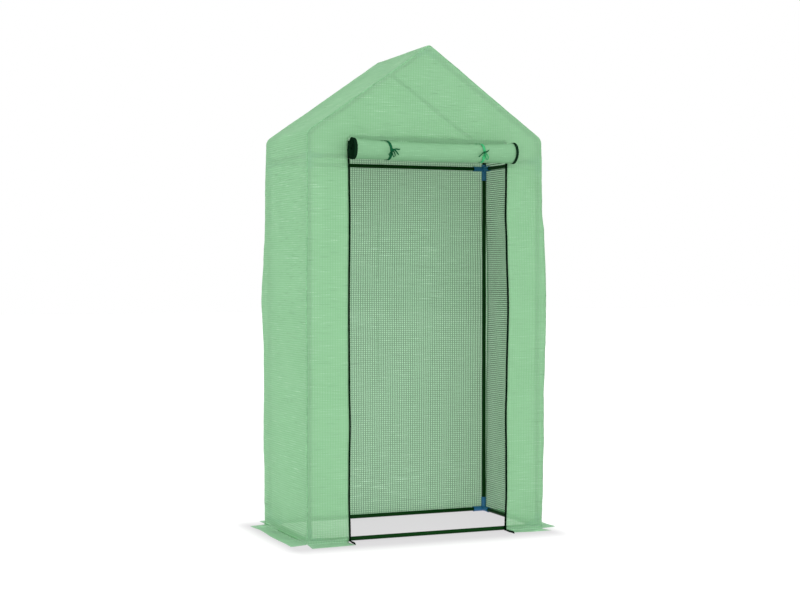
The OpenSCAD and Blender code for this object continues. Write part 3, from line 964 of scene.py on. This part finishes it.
def roll_edge(label, side, end):
    """Zip tape on one side edge of the rolled door: a thick black spiral."""
    width, depth = EDGE_TAPE[label]
    angles = spiral_angles(40)
    n = len(angles)
    vertices, faces = [], []
    for a in angles:
        outer = end + side * roll_stray(a)
        x0, x1 = sorted((outer, outer - side * width))
        for x, inset in ((x0, -EDGE_TAPE_PROUD), (x1, -EDGE_TAPE_PROUD), (x1, depth), (x0, depth)):
            vertices.append(roll_point(a, x, inset))
    for i in range(n - 1):
        for k in range(4):
            a, b = 4 * i + k, 4 * i + (k + 1) % 4
            faces.append((a, a + 4, b + 4, b))
    faces += [(0, 1, 2, 3), (4 * n - 1, 4 * n - 2, 4 * n - 3, 4 * n - 4)]
    return new_object(f"door_roll_zip_{label}", vertices, faces, ROLLED_TAPE, smooth_faces=False)


def door_curtain():
    """Flat length of the door from its seam down to the roll."""
    rows, steps = 48, 60
    vertices = []
    for i in range(steps + 1):
        x = curtain_low[0] + (curtain_high[0] - curtain_low[0]) * i / steps
        for j in range(rows + 1):
            z = ROLL_Z + (CURTAIN_TOP - ROLL_Z) * j / rows
            vertices.append(Vector((x, CURTAIN_Y + 0.0004 * wave(12 * x, 0, 30 * z), z)))
    obj = new_object("door_curtain_sheet", vertices, grid_faces(steps + 1, rows + 1), CURTAIN_CLOTH)
    return thicken(obj, offset=0.0)


def curtain_edge(label, x):
    """Zip tape on a side edge of the door's flat length."""
    rows = 30
    path = [Vector((x, CURTAIN_Y - 0.0003, ROLL_Z + (ZIP_TOP - ROLL_Z) * j / rows)) for j in range(rows + 1)]
    across, out = [RIGHTWARD] * len(path), [FORWARD] * len(path)
    return strip(f"door_curtain_zip_{label}", path, across, out, 2 * CURTAIN_EDGE, 0.0006, ZIP)


roll, rolled_length = door_roll()
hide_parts("door_roll")
roll_edges = [roll_edge("left", -1, ROLL_X0), roll_edge("right", 1, ROLL_X1)]
for obj in (roll, *roll_edges):
    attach(obj, "rolled_door")
    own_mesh(obj)

curtain = door_curtain()
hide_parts("door_curtain")
curtain_edges = [curtain_edge("left", curtain_low[0] + CURTAIN_EDGE),
                 curtain_edge("right", curtain_high[0] - CURTAIN_EDGE)]
for obj in (curtain, *curtain_edges):
    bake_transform(obj)

# --- ties ---


def ribbon(points, across, width, material, thickness=0.0005, name="part"):
    """Ribbon along a smooth line through points, with its width along across."""
    path = []
    for i in range(len(points) - 1):
        p0, p1, p2 = points[max(i - 1, 0)], points[i], points[i + 1]
        p3 = points[min(i + 2, len(points) - 1)]
        for step in range(6):
            t = step / 6
            path.append(0.5 * ((2 * p1) + (p2 - p0) * t + (2 * p0 - 5 * p1 + 4 * p2 - p3) * t**2
                               + (3 * p1 - p0 - 3 * p2 + p3) * t**3))
    path.append(points[-1])
    out, sides = [], []
    for i in range(len(path)):
        forward = (path[min(i + 1, len(path) - 1)] - path[max(i - 1, 0)]).normalized()
        side = (across - forward * across.dot(forward)).normalized()
        sides.append(side)
        out.append(side.cross(forward).normalized())
    return strip(name, path, sides, out, width, thickness, material)


def bow(knot, tails, material, bow_material):
    """The parts of a bow: its knot, two loops and two tails, each tail given by how far it reaches."""
    turns = [math.pi * k / 4 for k in range(9)]
    turns = [knot + Vector((0.0052 * math.cos(t), -0.0012 + 0.0028 * math.sin(t), 0.0004 * t)) for t in turns]
    parts = [ribbon(turns, UPWARD, 0.0090, bow_material, 0.0012)]
    for reach, drop in ((-0.015, 0.020), (0.010, 0.024)):
        points = ((0, -0.002, 0), (0.5, -0.008, -0.3), (1, -0.008, -0.8), (0.6, -0.005, -1.1),
                  (0.1, -0.003, -0.5), (0, -0.002, 0))
        loop = [knot + Vector((reach * u, y, drop * v)) for u, y, v in points]
        parts.append(ribbon(loop, Vector((0.2, -1, 0.2)), 0.0060, material))
    for dx, dz in tails:
        points = ((0, -0.002, 0), (dx * 0.4, -0.006, dz * 0.2 + 0.003), (dx * 0.8, -0.007, dz * 0.7),
                  (dx, -0.005, dz))
        tail = [knot + Vector(point) for point in points]
        parts.append(ribbon(tail, Vector((0.1, -0.4, 1)), 0.0050, bow_material))
    return parts


def tie(label, x, material, bow_material, lean, tails):
    """Ribbon round the roll from its seam on the gable, with its bow at the front."""
    slim, sag, _ = roll_waist(x)
    r = ROLL_R + CLOTH_T - slim
    middle = Vector((x, ROLL_Y + slim, ROLL_Z - sag))
    band = [Vector((x, curtain_low[1] - 0.0006, ROLL_Z + 0.034)),
            Vector((x, curtain_low[1] - 0.004, ROLL_Z + 0.036))]
    for i in range(25):
        a = math.radians(80 + 250 * i / 24)
        band.append(middle + Vector((lean * math.sin(math.pi * i / 24), r * math.cos(a), r * math.sin(a))))
    knot = middle + Vector((lean, -r - 0.0022, -0.001))
    parts = [ribbon(band, RIGHTWARD, 0.0105, material), *bow(knot, tails, material, bow_material)]
    joined = join(f"tie_{label}_ribbon", parts)
    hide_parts(f"tie_{label}")
    inner = [Vector((x, FRONT_Y + 0.0016, ROLL_Z + 0.062)), Vector((x, FRONT_Y + 0.0016, ROLL_Z + 0.03)),
             Vector((x, FRONT_Y + 0.0012, ROLL_Z - 0.006))]
    behind = ribbon(inner, RIGHTWARD, 0.0085, material, name=f"tie_{label}_inner_end")
    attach(behind, ROOT)
    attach(joined, ROOT)
    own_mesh(joined)


def join(name, objects):
    """One object from several, with their materials."""
    b = bmesh.new()
    mesh = bpy.data.meshes.new(name)
    for o in objects:
        material = o.data.materials[0]
        if material.name not in mesh.materials:
            mesh.materials.append(material)
        before = len(b.faces)
        b.from_mesh(o.data)
        b.faces.ensure_lookup_table()
        for face in b.faces[before:]:
            face.material_index = mesh.materials.find(material.name)
    b.to_mesh(mesh)
    b.free()
    obj = bpy.data.objects.new(name, mesh)
    bpy.context.collection.objects.link(obj)
    for o in objects:
        old = o.data
        bpy.data.objects.remove(o)
        bpy.data.meshes.remove(old)
    return obj


tie("left", TIE_X[0], RIBBON_LEFT, RIBBON_LEFT, 0.012, ((0.032, 0.004), (0.026, -0.018)))
tie("right", TIE_X[1], RIBBON_RIGHT, RIBBON_LEFT, 0.003, ((-0.030, -0.016), (0.016, 0.014)))

# --- frame parts from CAD ---

# The start of the nodes' names, their material, and the name and width of their edges' rounding.
CAD_FINISHES = (
    (("base_tube", "lower_post", "upper_post", "eave_rail", "rafter", "ridge_tube"), TUBE, None, 0.0),
    (("base_connector", "eave_connector", "ridge_connector"), SOCKET, "moulded_edges", 0.0008),
    (("zip_slider", "zip_pull"), SLIDER, "soft_edges", 0.0004),
)

for name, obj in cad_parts.items():
    for starts, material, rounding, width in CAD_FINISHES:
        if not name.startswith(starts):
            continue
        obj.data.materials.clear()
        obj.data.materials.append(material)
        if rounding:
            edge = obj.modifiers.new(rounding, "BEVEL")
            edge.width = width
            edge.segments = 2
            edge.limit_method = "ANGLE"

# --- stage, light and camera ---

FLOOR_HALF, FLOOR_Z = 30, -0.0002
SENSOR_W, LENS = 36, 69.88  # millimetres
CAMERA_PLACE = (-2.4348, -5.8455, 1.0508)
CAMERA_TILT, CAMERA_TURN = -1.125, -22.529  # degrees up from level, and to the left

corners = [(FLOOR_HALF * x, FLOOR_HALF * y, 0) for x, y in ((-1, -1), (1, -1), (1, 1), (-1, 1))]
floor = new_object("floor", corners, [(0, 1, 2, 3)], floor_material())
floor.location.z = FLOOR_Z

world = bpy.data.worlds.new("studio")
bpy.context.scene.world = world
world.use_nodes = True
world.node_tree.nodes["Background"].inputs["Color"].default_value = (1, 1, 1, 1)
world.node_tree.nodes["Background"].inputs["Strength"].default_value = 1.0


def sun(name, strength, angle, direction):
    """Soft light from afar; angle, in degrees, is how wide its source looks."""
    light = bpy.data.lights.new(name, "SUN")
    light.energy = strength
    light.angle = math.radians(angle)
    obj = bpy.data.objects.new(name, light)
    bpy.context.collection.objects.link(obj)
    obj.rotation_euler = Vector(direction).to_track_quat("-Z", "Y").to_euler()


sun("key", 1.0, 40, (0.06, 1.0, -0.22))
sun("side", 0.8, 60, (1.0, -0.12, -0.15))
sun("top", 0.35, 90, (0.0, 0.1, -1.0))

camera_data = bpy.data.cameras.new("camera")
camera_data.sensor_width = SENSOR_W
camera_data.lens = LENS
camera_data.clip_end = 200
camera = bpy.data.objects.new("camera", camera_data)
bpy.context.collection.objects.link(camera)
camera.location = CAMERA_PLACE
camera.rotation_euler = (math.radians(90 + CAMERA_TILT), 0, math.radians(CAMERA_TURN))
bpy.context.scene.camera = camera
bpy.context.scene.view_settings.view_transform = "Standard"
